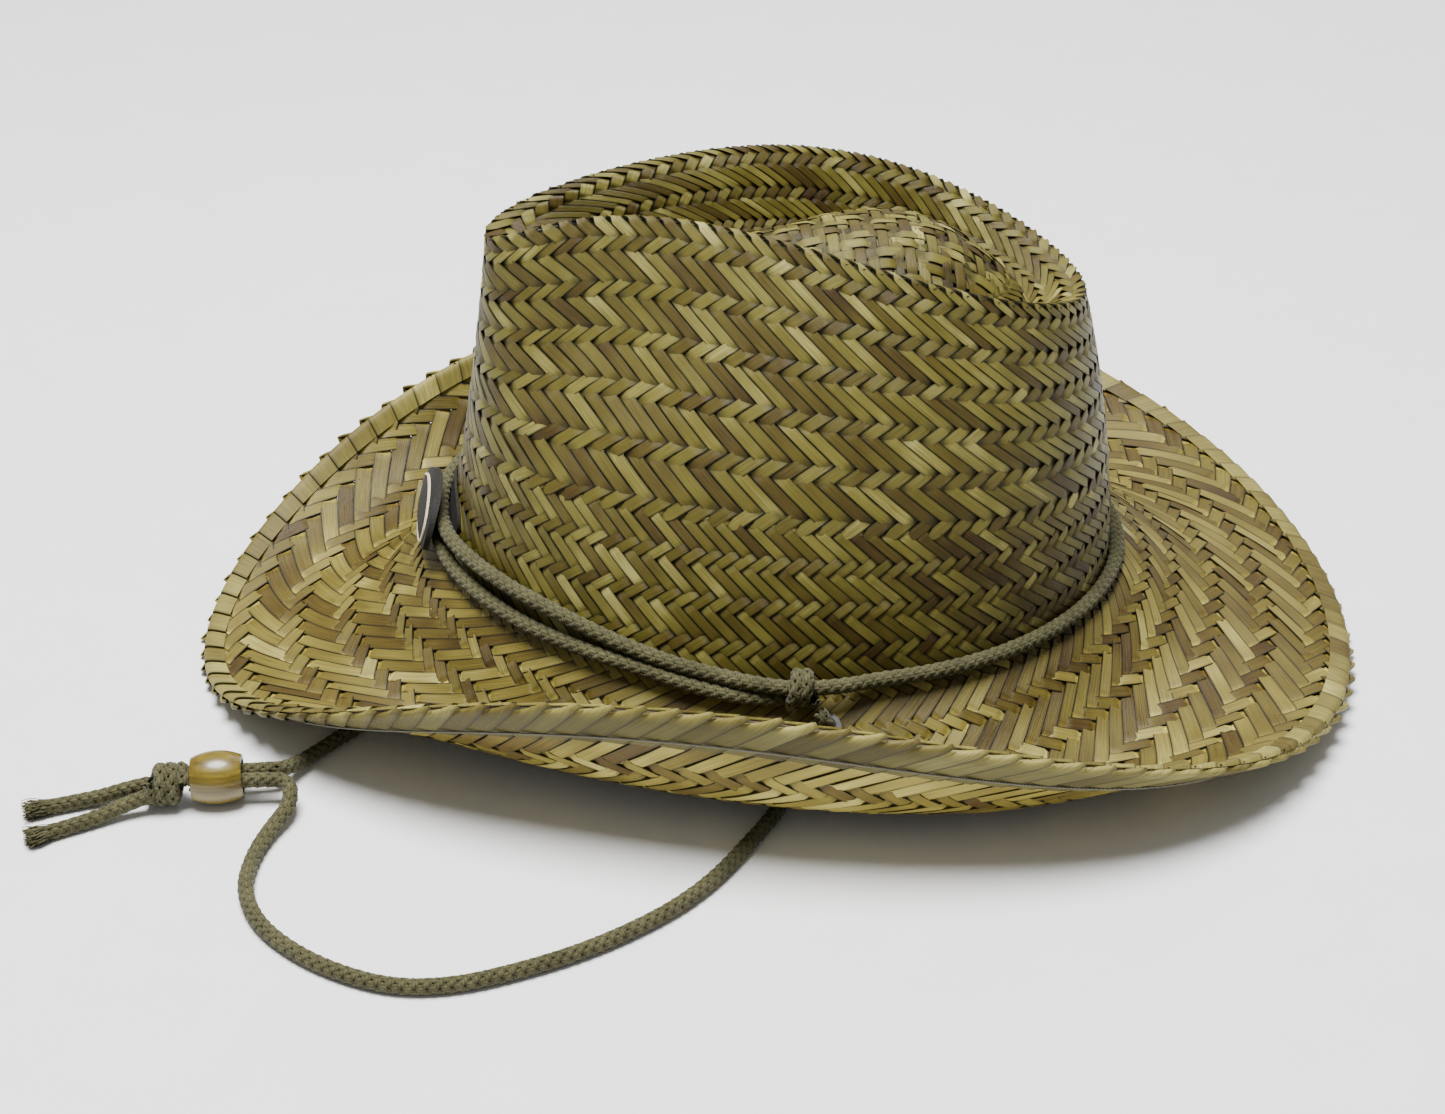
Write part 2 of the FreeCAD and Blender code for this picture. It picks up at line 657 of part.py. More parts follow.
tail_y = size("knot_y") - size("end_knot_length") - 0.8
TAILS = {
    "left": [(84.6, tail_y, 6.0), (85.6, tail_y - 6.0, 4.6), (88.0, tail_y - 12.5, 2.9),
             (91.4, tail_y - 20.5, floor), (96.6, tail_y - 34.0, floor)],
    "right": [(78.4, tail_y, 6.0), (78.2, tail_y - 6.5, 4.7), (78.8, tail_y - 13.5, 2.9),
              (80.2, tail_y - 22.0, floor), (83.4, tail_y - 36.0, floor)],
}
for side_name, side in SIDES:
    solid_feature("cord_tail_" + side_name,
                  tube_shape([Vector(*p) for p in TAILS[side_name]], cord,
                             "cord_tail_" + side_name))

# ---- leather patch on the front --------------------------------------------------------------

def formula(obj, **fields):
    for name, expression in fields.items():
        obj.setExpression(name, expression)
    return obj


def oval_prism(name, inset):
    oval = doc.addObject("Part::Ellipse", name + "_oval")
    formula(oval, MajorRadius="sizes.patch_width / 2 - (%s)" % inset,
            MinorRadius="sizes.patch_height / 2 - (%s)" % inset)
    oval.Placement = Placement(Vector(0, 15, 0), Rotation(Vector(1, 0, 0), 90))
    prism = doc.addObject("Part::Extrusion", name)
    prism.Base = oval
    prism.Dir = Vector(0, -1, 0)
    prism.LengthFwd = 30
    prism.Solid = True
    return prism


def cup(name, drop):
    """A solid torus whose outermost point is the face of the patch, or below it by drop."""
    ring = doc.addObject("Part::Torus", name)
    formula(ring, Radius1="sizes.patch_bend - sizes.patch_round",
            Radius2="sizes.patch_round - (%s)" % drop)
    formula(ring, **{"Placement.Base.y": "sizes.patch_bend"})
    return ring


def boolean(kind, name, one, two, label=None):
    obj = doc.addObject("Part::" + kind, name)
    obj.Base, obj.Tool = one, two
    return keep(obj, label) if label else obj


lift = on_wall(0, size("patch_lift"), 0).z + SHIFT.z
wall_y = on_wall(0, size("patch_lift") - 7.5, half_straw).y + SHIFT.y
face_y = wall_y - backing - size("cord_gap") - cord - 0.5 - size("patch_thickness") - 1.4
patch_place = Placement(Vector(0, face_y, lift), Rotation(Vector(1, 0, 0), -size("patch_tilt")))

leather = boolean("Cut", "leather", cup("face", "0"), cup("face_back", "sizes.patch_thickness"))
front = boolean("Common", "front", leather, oval_prism("edge", "0"), "patch_front")
front.Placement = patch_place
thread_layer = boolean("Cut", "thread_layer", cup("thread_top", "-0.5"), cup("thread_foot", "-0.05"))
track = boolean("Cut", "track", oval_prism("track_out", "sizes.stitch_inset"),
                oval_prism("track_in", "sizes.stitch_inset + sizes.thread_diameter"))
stitches = boolean("Common", "stitches", thread_layer, track, "patch_stitching")
stitches.Placement = patch_place

shell_out = doc.addObject("Part::Cylinder", "backing_out")
formula(shell_out, Radius="sizes.backing_bend", Height="60")
shell_in = doc.addObject("Part::Cylinder", "backing_in")
formula(shell_in, Radius="sizes.backing_bend - sizes.backing_thickness", Height="60")
for shell in (shell_out, shell_in):
    formula(shell, **{"Placement.Base.y": "sizes.backing_bend", "Placement.Base.z": "-30"})
felt = boolean("Cut", "felt", shell_out, shell_in)
back_piece = boolean("Common", "back_piece", felt, oval_prism("back_edge", "2.2"), "patch_back")
wall_low, wall_high = on_wall(0, 6, half_straw), on_wall(0, 26, half_straw)
lean = math.degrees(math.atan2(wall_high.y - wall_low.y, wall_high.z - wall_low.z))
wall_mid = on_wall(0, size("patch_lift") + 0.5, half_straw + backing + 0.1) + SHIFT
back_piece.Placement = Placement(wall_mid, Rotation(Vector(1, 0, 0), -lean))

# ---- check and write -------------------------------------------------------------------------

doc.recompute()
failed = [o.Name for o in doc.Objects if "Invalid" in o.State or "Error" in o.State]
for obj in nodes:
    if obj.Shape.isNull() or not obj.Shape.isValid() or len(obj.Shape.Solids) != 1:
        failed.append("%s solids %d" % (obj.Label, len(obj.Shape.Solids)))
if failed:
    raise SystemExit("not built: %s" % ", ".join(failed))
os.makedirs("parts", exist_ok=True)
for obj in nodes:
    obj.Shape.exportStep("parts/%s.step" % obj.Label)
    box = obj.Shape.BoundBox
    print("%-22s volume %9.1f  x %7.1f..%6.1f  y %7.1f..%6.1f  z %6.2f..%6.1f" % (
        obj.Label, obj.Shape.Volume, box.XMin, box.XMax, box.YMin, box.YMax, box.ZMin, box.ZMax))
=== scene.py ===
# A woven straw hat with a creased crown, a brim rolled up at the sides and a chin cord.
# It stands on its brim. Metres, +Z up, the front faces -Y and the wearer's left is +X.
import math

import bmesh
import bpy
import numpy as np
from mathutils import Matrix, Vector


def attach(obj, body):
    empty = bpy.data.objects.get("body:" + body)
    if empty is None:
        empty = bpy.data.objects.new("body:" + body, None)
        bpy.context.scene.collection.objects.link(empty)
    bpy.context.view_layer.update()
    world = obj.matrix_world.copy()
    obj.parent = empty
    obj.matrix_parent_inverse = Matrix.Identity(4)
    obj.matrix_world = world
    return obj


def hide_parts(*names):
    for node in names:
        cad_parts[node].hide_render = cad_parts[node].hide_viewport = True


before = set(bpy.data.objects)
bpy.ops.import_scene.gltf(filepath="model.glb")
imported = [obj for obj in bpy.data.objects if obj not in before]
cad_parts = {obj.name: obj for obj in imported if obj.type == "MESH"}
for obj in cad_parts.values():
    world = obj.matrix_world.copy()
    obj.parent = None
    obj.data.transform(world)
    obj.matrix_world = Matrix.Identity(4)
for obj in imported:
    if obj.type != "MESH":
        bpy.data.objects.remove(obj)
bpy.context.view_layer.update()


# ---- Camera -------------------------------------------------------------------------------
# A long lens looks at the hat's left side from 32 degrees above the table, with the front of
# the hat to the left.

lens = bpy.data.cameras.new("camera")
lens.lens = 68.74
lens.sensor_width = 36
camera = bpy.data.objects.new("camera", lens)
bpy.context.scene.collection.objects.link(camera)
camera.matrix_world = Matrix(((0.09387, -0.52675, 0.84482, 0.7518),
                              (0.99553, 0.05887, -0.07391, -0.0823),
                              (-0.01080, 0.84798, 0.52992, 0.4959),
                              (0, 0, 0, 1)))
bpy.context.scene.camera = camera


# ---- Chin cord ----------------------------------------------------------------------------
# Plaited cotton cord, 4.6 mm thick. Each half hangs from the hitch knot over the brim, goes
# down through its eyelet, out under the rolled side of the brim and along the table to the
# bead and the end knot.

CORD = 0.0046


def smooth_line(name, points, closed=False):
    """Points along a smooth line that has the given places as its control points."""
    curve = bpy.data.curves.new(name, "CURVE")
    curve.dimensions = "3D"
    spline = curve.splines.new("NURBS")
    spline.points.add(len(points) - 1)
    for spot, place in zip(spline.points, points):
        spot.co = (*place, 1)
    spline.order_u = 3
    spline.use_endpoint_u = not closed
    spline.use_cyclic_u = closed
    spline.resolution_u = 12
    holder = bpy.data.objects.new(name, curve)
    mesh = bpy.data.meshes.new_from_object(holder)
    line = [tuple(vert.co) for vert in mesh.vertices]
    bpy.data.objects.remove(holder)
    bpy.data.curves.remove(curve)
    bpy.data.meshes.remove(mesh)
    return line


def lay_strips(name, strips, rounded=False, **facts):
    """One mesh of many strips. Each strip is a grid laid on its rows of places, and each fact
    is an attribute with one list of values for each strip."""
    build = bmesh.new()
    for places in strips:
        bmesh.ops.create_grid(build, x_segments=places.shape[1] - 1,
                              y_segments=places.shape[0] - 1, size=1)
    for edge in build.edges:
        edge.smooth = rounded or not edge.is_boundary
    mesh = bpy.data.meshes.new(name)
    build.to_mesh(mesh)
    build.free()
    mesh.vertices.foreach_set("co", np.concatenate([p.reshape(-1) for p in strips]))
    for fact, values in facts.items():
        layer = mesh.attributes.new(fact, "FLOAT", "POINT")
        layer.data.foreach_set("value", np.concatenate([v.reshape(-1) for v in values]))
    mesh.polygons.foreach_set("use_smooth", [True] * len(mesh.polygons))
    piece = bpy.data.objects.new(name, mesh)
    bpy.context.scene.collection.objects.link(piece)
    return piece


def thicken(piece, thickness):
    solid = piece.modifiers.new("thickness", "SOLIDIFY")
    solid.thickness = thickness
    solid.offset = 0


def unit(v):
    return v / np.linalg.norm(v, axis=-1, keepdims=True)


def eased(x):
    x = np.clip(x, 0, 1)
    return x * x * (3 - 2 * x)


def plait(name, line, thick=CORD, closed=False, pitch=0.0132):
    """Eight flat strands plaited into a round cord along a line of points."""
    line = np.array(line + line[:1] if closed else line)
    run = np.concatenate([[0], np.cumsum(np.linalg.norm(np.diff(line, axis=0), axis=1))])
    step = 0.00095
    count = int(run[-1] / step)
    s = np.linspace(0, run[-1], count + 1)
    middle = np.stack([np.interp(s, run, line[:, k]) for k in range(3)], axis=1)
    ahead = unit(np.gradient(middle, axis=0))
    if closed:
        ahead[0] = ahead[-1] = unit(middle[1] - middle[-2])
    side = np.cross(ahead[0], (0, 0, 1.0))
    sides = []
    for along in ahead:
        side = side - along * side.dot(along)
        side = side / np.linalg.norm(side)
        sides.append(side)
    sides = np.array(sides)
    ups = np.cross(sides, ahead)
    turns = max(1, round(run[-1] / pitch)) * 2 * math.pi
    slip = 0.0
    if closed:
        slip = math.atan2(sides[-1].dot(ups[0]), sides[-1].dot(sides[0]))
    r = thick / 2
    strand_wide, strand_deep, heart = 0.44, 0.23, 0.70     # shares of the radius
    strips, across, alongs, tones = [], [], [], []
    corner = np.linspace(0, 2 * math.pi, 6)
    for k in range(8):
        way = 1 if k % 2 else -1
        turn = (k // 2) * math.pi / 2 + way * turns * s / run[-1] - slip * s / run[-1]
        over = way * np.cos(4 * turns * s / run[-1])
        reach = r * (0.79 + 0.07 * over)
        out = sides * np.cos(turn)[:, None] + ups * np.sin(turn)[:, None]
        centre = middle + out * reach[:, None]
        heading = unit(np.gradient(centre, axis=0))
        wide = np.cross(heading, out)
        ring = (centre[:, None] + wide[:, None] * (np.cos(corner) * r * strand_wide)[None, :, None]
                + out[:, None] * (np.sin(corner) * r * strand_deep)[None, :, None])
        strips.append(ring)
        across.append(np.broadcast_to(np.cos(corner), ring.shape[:2]))
        alongs.append(np.broadcast_to((s * 1.4 + k)[:, None], ring.shape[:2]))
        # tone: how far each strand lies over the others; the cotton finish turns it into painted
        # shade on the strands that pass under
        tones.append(np.broadcast_to((over * 0.5 + 0.5)[:, None], ring.shape[:2]))
    core = np.linspace(0, 2 * math.pi, 9)
    strips.append(middle[::4, None] + sides[::4, None] * (np.cos(core) * r * heart)[None, :, None]
                  + ups[::4, None] * (np.sin(core) * r * heart)[None, :, None])
    across.append(np.zeros(strips[-1].shape[:2]))
    alongs.append(np.zeros(strips[-1].shape[:2]))
    tones.append(np.zeros(strips[-1].shape[:2]))
    return lay_strips(name, strips, True, across=across, along=alongs, tone=tones)


class Value:
    """A socket of a material. Sums and products of it add Math nodes."""

    def __init__(self, tree, socket=None):
        self.tree, self.socket = tree, socket

    def node(self, kind, settings=None, output=0, **values):
        made = self.tree.nodes.new(kind)
        for key, value in (settings or {}).items():
            if key == "stops":
                stops = made.color_ramp.elements
                while len(stops) < len(value):
                    stops.new(0.5)
                for stop, (place, colour) in zip(stops, value):
                    stop.position = place
                    stop.color = (*colour, 1)
            else:
                setattr(made, key, value)
        for key, value in values.items():
            socket = made.inputs[int(key[1:])] if key[0] == "_" else made.inputs[key]
            if isinstance(value, Value):
                self.tree.links.new(value.socket, socket)
            else:
                socket.default_value = value
        return Value(self.tree, made.outputs[output])

    def fact(self, name):
        """An attribute that the mesh carries."""
        return self.node("ShaderNodeAttribute", {"attribute_name": name}, 2)

    def maths(self, operation, a, b=0.0):
        return self.node("ShaderNodeMath", {"operation": operation}, _0=a, _1=b)

    def __add__(self, other):
        return self.maths("ADD", self, other)

    def __sub__(self, other):
        return self.maths("SUBTRACT", self, other)

    def __mul__(self, other):
        return self.maths("MULTIPLY", self, other)


def finish_of(name, **constants):
    """A new material, the start of its node expressions, and its main shader."""
    material = bpy.data.materials.new(name)
    material.use_nodes = True
    shader = material.node_tree.nodes["Principled BSDF"]
    for key, value in constants.items():
        shader.inputs[key.replace("_", " ")].default_value = value
    return material, Value(material.node_tree), shader


def connect(start, shader, height=None, strength=0.3, distance=0.001, **values):
    for key, value in values.items():
        start.tree.links.new(value.socket, shader.inputs[key.replace("_", " ")])
    if height:
        bump = start.node("ShaderNodeBump", Strength=strength, Distance=distance, Height=height)
        start.tree.links.new(bump.socket, shader.inputs["Normal"])


def cotton_finish():
    material, start, shader = finish_of("olive_cotton", Sheen_Weight=0.08, Specular_IOR_Level=0.25)
    across = start.fact("across")
    along = start.fact("along")
    # tone is each plait strand's lift over the others: it lightens the strands that lie over and
    # darkens those that pass under, as painted shade; on the frayed yarns it is a random tone
    raised = start.fact("tone")
    # fine yarns run at a slant across every strand
    yarns = start.maths("SINE", along * 5200.0 + across * 5.0) * 0.5 + 0.5
    place = start.node("ShaderNodeTexCoord", output=3)
    blotch = start.node("ShaderNodeTexNoise", Vector=place, Scale=140.0, Detail=3.0)
    fuzz = start.node("ShaderNodeTexNoise", Vector=place, Scale=2600.0, Detail=2.0)
    shade = raised * 0.35 + yarns * 0.22 + blotch * 0.5 + fuzz * 0.25 - 0.12
    colour = start.node("ShaderNodeValToRGB", {"stops": [
        (0.05, (0.009, 0.008, 0.003)), (0.45, (0.044, 0.041, 0.016)),
        (0.75, (0.084, 0.079, 0.034)), (1.0, (0.15, 0.14, 0.07))]}, Fac=shade)
    connect(start, shader, yarns + fuzz * 0.8, 0.5, 0.0002, Base_Color=colour,
            Roughness=fuzz * 0.15 + 0.8)
    return material


cotton = cotton_finish()

# below the bead the two halves are tied together in an overhand knot
KNOT = Vector((0.0810, -0.18845, 0.0074))
turns = []
for k in range(31):
    share = k / 30
    angle = math.radians(30 + 1080 * share)
    reach = 0.0046 * (0.93 + 0.07 * math.sin(math.pi * share))
    slip = 0.0034 - 0.0094 * share + 0.0009 * math.sin(angle)
    turns.append((KNOT.x + reach * math.cos(angle), KNOT.y + slip, KNOT.z + reach * math.sin(angle)))
end_knot = plait("end_knot_plait", smooth_line("end_knot", turns), 0.0044)
end_knot.data.materials.append(cotton)
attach(end_knot, "hat")
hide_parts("end_knot")

# left half, +X side, from the hitch knot to the end knot
LEFT_ROUTE = [(0.0973, 0.0027, 0.0299), (0.0998, 0.0050, 0.0270), (0.0898, 0.0047, 0.0171),
              (0.0845, 0.0015, 0.0064), (0.0890, -0.0030, 0.0034), (0.0965, -0.0065, 0.0024),
              (0.1070, -0.0105, 0.0024), (0.1215, -0.0205, 0.0024), (0.1365, -0.0315, 0.0024),
              (0.1485, -0.0440, 0.0024), (0.1580, -0.0585, 0.0024), (0.1655, -0.0735, 0.0024),
              (0.1710, -0.0895, 0.0024), (0.1750, -0.1060, 0.0024), (0.1740, -0.1225, 0.0024),
              (0.1665, -0.1375, 0.0024), (0.1560, -0.1505, 0.0024), (0.1425, -0.1610, 0.0024),
              (0.1270, -0.1655, 0.0024), (0.1120, -0.1635, 0.0024), (0.1010, -0.1590, 0.0032),
              (0.0925, -0.1532, 0.0052), (0.0846, -0.1532, 0.0074),
              (0.0824, -0.1584, 0.0081), (0.0825, -0.1827, 0.0081)]
# right half, -X side, which comes forward under the crown
RIGHT_ROUTE = [(-0.0973, 0.0027, 0.0299), (-0.0998, 0.0050, 0.0270), (-0.0898, 0.0047, 0.0171),
               (-0.0850, 0.0025, 0.0058), (-0.0800, -0.0010, 0.0029), (-0.0700, -0.0045, 0.0024),
               (-0.0545, -0.0055, 0.0024), (-0.0375, -0.0005, 0.0024), (-0.0205, 0.0035, 0.0024),
               (-0.0035, 0.0010, 0.0024), (0.0105, -0.0085, 0.0024), (0.0190, -0.0230, 0.0024),
               (0.0205, -0.0405, 0.0024), (0.0170, -0.0585, 0.0024), (0.0155, -0.0765, 0.0024),
               (0.0205, -0.0945, 0.0024), (0.0305, -0.1105, 0.0024), (0.0425, -0.1250, 0.0024),
               (0.0525, -0.1365, 0.0024), (0.0605, -0.1445, 0.0024), (0.0675, -0.1502, 0.0032),
               (0.0732, -0.1540, 0.0052), (0.0772, -0.1570, 0.0074),
               (0.07785, -0.1584, 0.0081), (0.07785, -0.1827, 0.0081)]
for side, places, length in (("left", LEFT_ROUTE, 0.334), ("right", RIGHT_ROUTE, 0.3315)):
    line = smooth_line("chin_" + side, places)
    half = plait("chin_plait_" + side, line)
    half.data.materials.append(cotton)
    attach(half, "hat")
    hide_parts("chin_cord_" + side)

# the two loose ends past the end knot, a little frayed
TAIL_ROUTES = {"left": [(0.0846, -0.1950, 0.0060), (0.0856, -0.2010, 0.0046),
                        (0.0880, -0.2075, 0.0029), (0.0914, -0.2155, 0.0024),
                        (0.0966, -0.2290, 0.0024)],
               "right": [(0.0784, -0.1950, 0.0060), (0.0782, -0.2015, 0.0047),
                         (0.0788, -0.2085, 0.0029), (0.0802, -0.2170, 0.0024),
                         (0.0834, -0.2310, 0.0024)]}
YARNS, YARN = 150, 0.00016                 # how many fray at each end, and half their width
chance = np.random.default_rng(7)
for side, places in TAIL_ROUTES.items():
    line = smooth_line("tail_" + side, places)
    tail = plait("tail_plait_" + side, line)
    tail.data.materials.append(cotton)
    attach(tail, "hat")
    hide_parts("cord_tail_" + side)
    end, before = np.array(line[-1]), np.array(line[-4])
    ahead = unit(end - before)
    beside = unit(np.cross(ahead, (0, 0, 1.0)))
    yarns, across, alongs, tones = [], [], [], []
    for k in range(YARNS):
        turn, out = chance.uniform(0, 2 * math.pi), 0.0022 * math.sqrt(chance.uniform(0.1, 1))
        go = np.linspace(-0.010, chance.uniform(-0.002, 0.0016), 9)[:, None]
        spread_out = 1 + 0.75 * eased((go + 0.009) / 0.012) * chance.uniform(0.3, 1.3)
        place = (end + ahead * go + beside * (out * math.cos(turn) * spread_out)
                 + np.array((0, 0, 1.0)) * (out * math.sin(turn) * spread_out))
        place += beside * 0.0007 * np.sin(go * 700 + k) * eased((go + 0.009) / 0.009)
        place[:, 2] = np.maximum(place[:, 2], 0.0003 + 0.0005 * chance.uniform(0, 1))
        yarns.append(np.stack([place - beside * YARN, place + np.array((0, 0, 0.00018)),
                               place + beside * YARN], axis=1))
        across.append(np.broadcast_to(np.array([-1.0, 0.0, 1.0]), (9, 3)))
        alongs.append(np.broadcast_to(go + k, (9, 3)))
        tones.append(np.full((9, 3), chance.uniform(0.1, 1.0)))
    fray = lay_strips("tail_fray_" + side, yarns, True, across=across, along=alongs, tone=tones)
    fray.data.materials.append(cotton)
    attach(fray, "hat")
    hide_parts("cord_tail_" + side)


# ---- Straw crown --------------------------------------------------------------------------
# Split rush, plaited over four and under two in two slanting families, and pressed over a
# block. Half way down the wall every third straw gets a new neighbour.

LIFT = Vector((0.0, 0.0023, 0.00202))      # the hat on its lowest point, centred
MM = 0.001
STRAW = 0.0005                             # thickness of one straw
WIDEST = 0.0058                            # width of the widest straw
SLANT = math.radians(36.5)                 # of the straws, from the row


def as_points(x, y, z):
    x, y, z = np.broadcast_arrays(x, y, z)
    return np.stack([x, y, z], axis=-1) * MM


def head_line(t):
    return as_points(86 * np.sin(t), -105 * np.cos(t),
                     31.2 + 5.4 * np.cos(t) + 0.9 * np.cos(2 * t))


def ridge(t):
    return as_points(34.5 * np.sin(t) - 14 * np.sin(2 * t)
                     + 2.9 * np.sin(3 * t) + 2.3 * np.sin(4 * t),
                     -4.4 - 90.5 * np.cos(t) + 7 * np.cos(2 * t),
                     139 + 12.9 * np.cos(t) - 11.3 * np.cos(2 * t))


def crown(t, v):
    """v from 0 at the head line to 1 on the ridge, then to 2 at the middle of the top."""
    t, v = np.broadcast_arrays(t, v)
    w = np.clip(v, 0, 1)
    wall = head_line(t) * (1 - w[..., None]) + ridge(t) * w[..., None]
    swell = 6.0 * np.sin(t) ** 2 * np.sin(math.pi * w ** 0.8)
    swell = swell + 10 * w * (1 - w) * np.maximum(0, -np.cos(t))
    swell = swell - 1.2 * np.sin(math.pi * w) * np.maximum(0, np.cos(t))
    turned = np.degrees(np.arctan2(np.sin(t), np.cos(t)))
    dent = -6.0 * np.exp(-((np.abs(turned) - 58) / 20) ** 2 - ((w - 0.74) / 0.22) ** 2)
    swell = (swell + dent * (1 - w ** 6)) * MM
    wall = wall + np.stack([np.sin(t) * swell, -np.cos(t) * swell, 0 * swell], axis=-1)
    s = np.clip(v - 1, 0, 1)
    low = ridge(t)
    top = low * (1 - s[..., None]) + np.array([0, 25, 138]) * MM * s[..., None]
    crease = (115.5 + 5.7 * np.cos(t) + 9 * np.sin(t) ** 2) * MM
    where = 0.36 + 0.11 * np.cos(t)
    down = crease + (low[..., 2] - crease) * (1 + np.cos(math.pi * np.minimum(s / where, 1))) / 2
    rise = 1 - (1 - np.clip((s - where) / (1 - where), 0, 1)) ** 2.6
    top[..., 2] = np.where(s < where, down, crease + (0.138 - crease) * rise)
    return np.where((v > 1)[..., None], top, wall) + np.array(LIFT)


def evened(surface, low, high, bands=24, sectors=360):
    """The same surface over u, 0 to 1 round the hat in even steps at every height."""
    heights = np.linspace(low, high, bands + 1)
    turn = np.linspace(0, 2 * math.pi, sectors + 1)
    share = np.linspace(0, 1, sectors + 1)
    table = []
    for v in heights:
        ring = surface(turn, np.full(sectors + 1, v))
        run = np.concatenate([[0], np.cumsum(np.linalg.norm(np.diff(ring, axis=0), axis=1))])
        table.append(np.interp(share, run / run[-1], turn) - 2 * math.pi * share)
    table = np.array(table)

    def place(u, v):
        u, v = np.broadcast_arrays(u, v)
        row = np.clip((v - low) / (high - low) * bands, 0, bands - 0.001)
        column = (u % 1) * sectors
        j, i = row.astype(int), np.minimum(column.astype(int), sectors - 1)
        a, b = row - j, column - i
        extra = ((table[j, i] * (1 - b) + table[j, i + 1] * b) * (1 - a)
                 + (table[j + 1, i] * (1 - b) + table[j + 1, i + 1] * b) * a)
        return surface(2 * math.pi * u + extra, v)
    return place


def rows_of(place, start, end, count, slant):
    """Places a along the straws, with three of a to a repeat of the plait, and heights v."""
    v = np.linspace(start, end, 200)
    u = np.linspace(0, 1, 120, endpoint=False)
    net = place(u[None, :], v[:, None])
    slope = np.linalg.norm(np.gradient(net, axis=0), axis=2).mean(axis=1)
    gap = np.linalg.norm(np.roll(net, -1, axis=1) - net, axis=2).sum(axis=1) / count
    a = np.concatenate([[0], np.cumsum((slope / (gap * math.tan(slant)))[1:])])
    steps = np.arange(0, a[-1] + 1 / 6, 1 / 6)
    return steps, np.interp(steps, a, v)


def plaited(name, place, start, end, count, way, slant=SLANT, phase=0.0, tips=True,
            wide=0.94, bow=0.00006):
    """One slanting family of straws. way is 1 for those over four and -1 for those over two.
    Those with tips start narrow, tucked under the straws above them."""
    steps, v = rows_of(place, start, end, count, slant)
    k = (2 * steps + phase) % 6
    top = eased((k + 0.66) / 0.32) * (1 - eased((k - 3.34) / 0.32)) + eased((k - 5.34) / 0.32)
    lift = (2 * top - 1) * way * 0.00042   # half the height between over and under
    strips, across, alongs, tones, depth = [], [], [], [], []
    for i in range(count):
        u = (i + way * steps) / count + 0.25 / count * (way < 0)
        here = place(u, v)
        e = 2e-3
        du = place(u + e, v) - place(u - e, v)
        dv = place(u, v + e) - place(u, v - e)
        normal = unit(np.cross(du, dv))
        ahead = unit(np.gradient(here, axis=0))
        side = np.cross(ahead, normal)
        row = unit(du)
        gap = np.linalg.norm(du, axis=1) / (2 * e * count)
        room = gap * np.linalg.norm(np.cross(row, ahead), axis=1)
        low = 1 - top if way > 0 else top
        half = np.minimum(room, WIDEST) * wide / 2 * chance.uniform(0.94, 1.02) * (1 + 0.13 * low)
        if tips:
            half = half * (0.15 + 0.85 * eased(steps / 0.55))
        lean = chance.normal(0, 0.05) + 0.05 * np.sin(steps * 2.1 + i)
        rise = lift + chance.normal(0, 0.00004) - tips * 0.0009 * (1 - eased(steps / 0.5))
        rows = []
        for x in (-1.0, 0.0, 1.0):
            rows.append(here + side * (half * x)[:, None]
                        + normal * (rise + bow * (1 - x * x) + lean * half * x)[:, None])
        strips.append(np.stack(rows, axis=1))
        shape = strips[-1].shape[:2]
        across.append(np.broadcast_to(np.array([-1.0, 0.0, 1.0]), shape))
        alongs.append(np.broadcast_to((steps * 0.0068 + i * 1.7)[:, None], shape))
        tones.append(np.full(shape, chance.uniform(0, 1)))
        # under: where the straw passes below its neighbours; its finish darkens it there as painted
        # shade
        depth.append(np.broadcast_to(low[:, None], shape))
    piece = lay_strips(name, strips, across=across, along=alongs, tone=tones, under=depth)
    thicken(piece, STRAW)
    return piece


# dark is the colour of the painted shade at the edges of the straws and where they pass under others
def straw_finish(name, stops, gloss, dark):
    material, start, shader = finish_of(name, Specular_IOR_Level=0.28)
    across = start.fact("across")
    along = start.fact("along")
    tone = start.fact("tone")
    under = start.fact("under")
    # long fibres run the length of a straw, and its colour drifts from float to float
    where = start.node("ShaderNodeCombineXYZ", X=along * 18.0, Y=across * 1.5, Z=tone * 40.0)
    fibres = start.node("ShaderNodeTexNoise", Vector=where, Scale=5.0, Detail=3.0, Roughness=0.65)
    drift_at = start.node("ShaderNodeCombineXYZ", X=along * 60.0, Y=tone * 30.0, Z=1.0)
    drift = start.node("ShaderNodeTexNoise", Vector=drift_at, Scale=0.9, Detail=1.0)
    shade = tone * 0.6 + drift * 0.8 + fibres * 0.7 - 0.56
    colour = start.node("ShaderNodeValToRGB", {"stops": stops}, Fac=shade)
    # painted shade: each straw is mixed towards the dark colour at its edges and where it passes
    # under its neighbours
    edge = start.maths("POWER", start.maths("ABSOLUTE", across), 9.0)
    colour_with_painted_shade = start.node("ShaderNodeMix", {"data_type": "RGBA"}, 2, _0=edge * 0.9 + under * 0.5,
                      _6=colour, _7=(*dark, 1))
    connect(start, shader, fibres - edge * 0.3, 0.6, 0.0004, Base_Color=colour_with_painted_shade,
            Roughness=fibres * 0.3 + gloss)
    return material


# The crown's colours are darker than the brim's for the same straw: painted shade for the upright
# crown, which faces away from the lamp.
crown_straw = straw_finish("crown_straw", [
    (0.0, (0.032, 0.015, 0.002)), (0.25, (0.066, 0.047, 0.005)), (0.5, (0.100, 0.084, 0.011)),
    (0.75, (0.158, 0.138, 0.027)), (1.0, (0.38, 0.34, 0.11))], 0.33, (0.004, 0.003, 0.001))

INCREASE = 0.385                           # height of the row where straws are added
ABOVE, BELOW = 84, 112                     # straws of each family on its two sides
upper = evened(crown, 0.3, 1.42)
lower = evened(crown, 0.0, 0.45)


def straw_piece(piece, finish, *nodes):
    piece.data.materials.append(finish)
    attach(piece, "hat")
    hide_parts(*nodes)


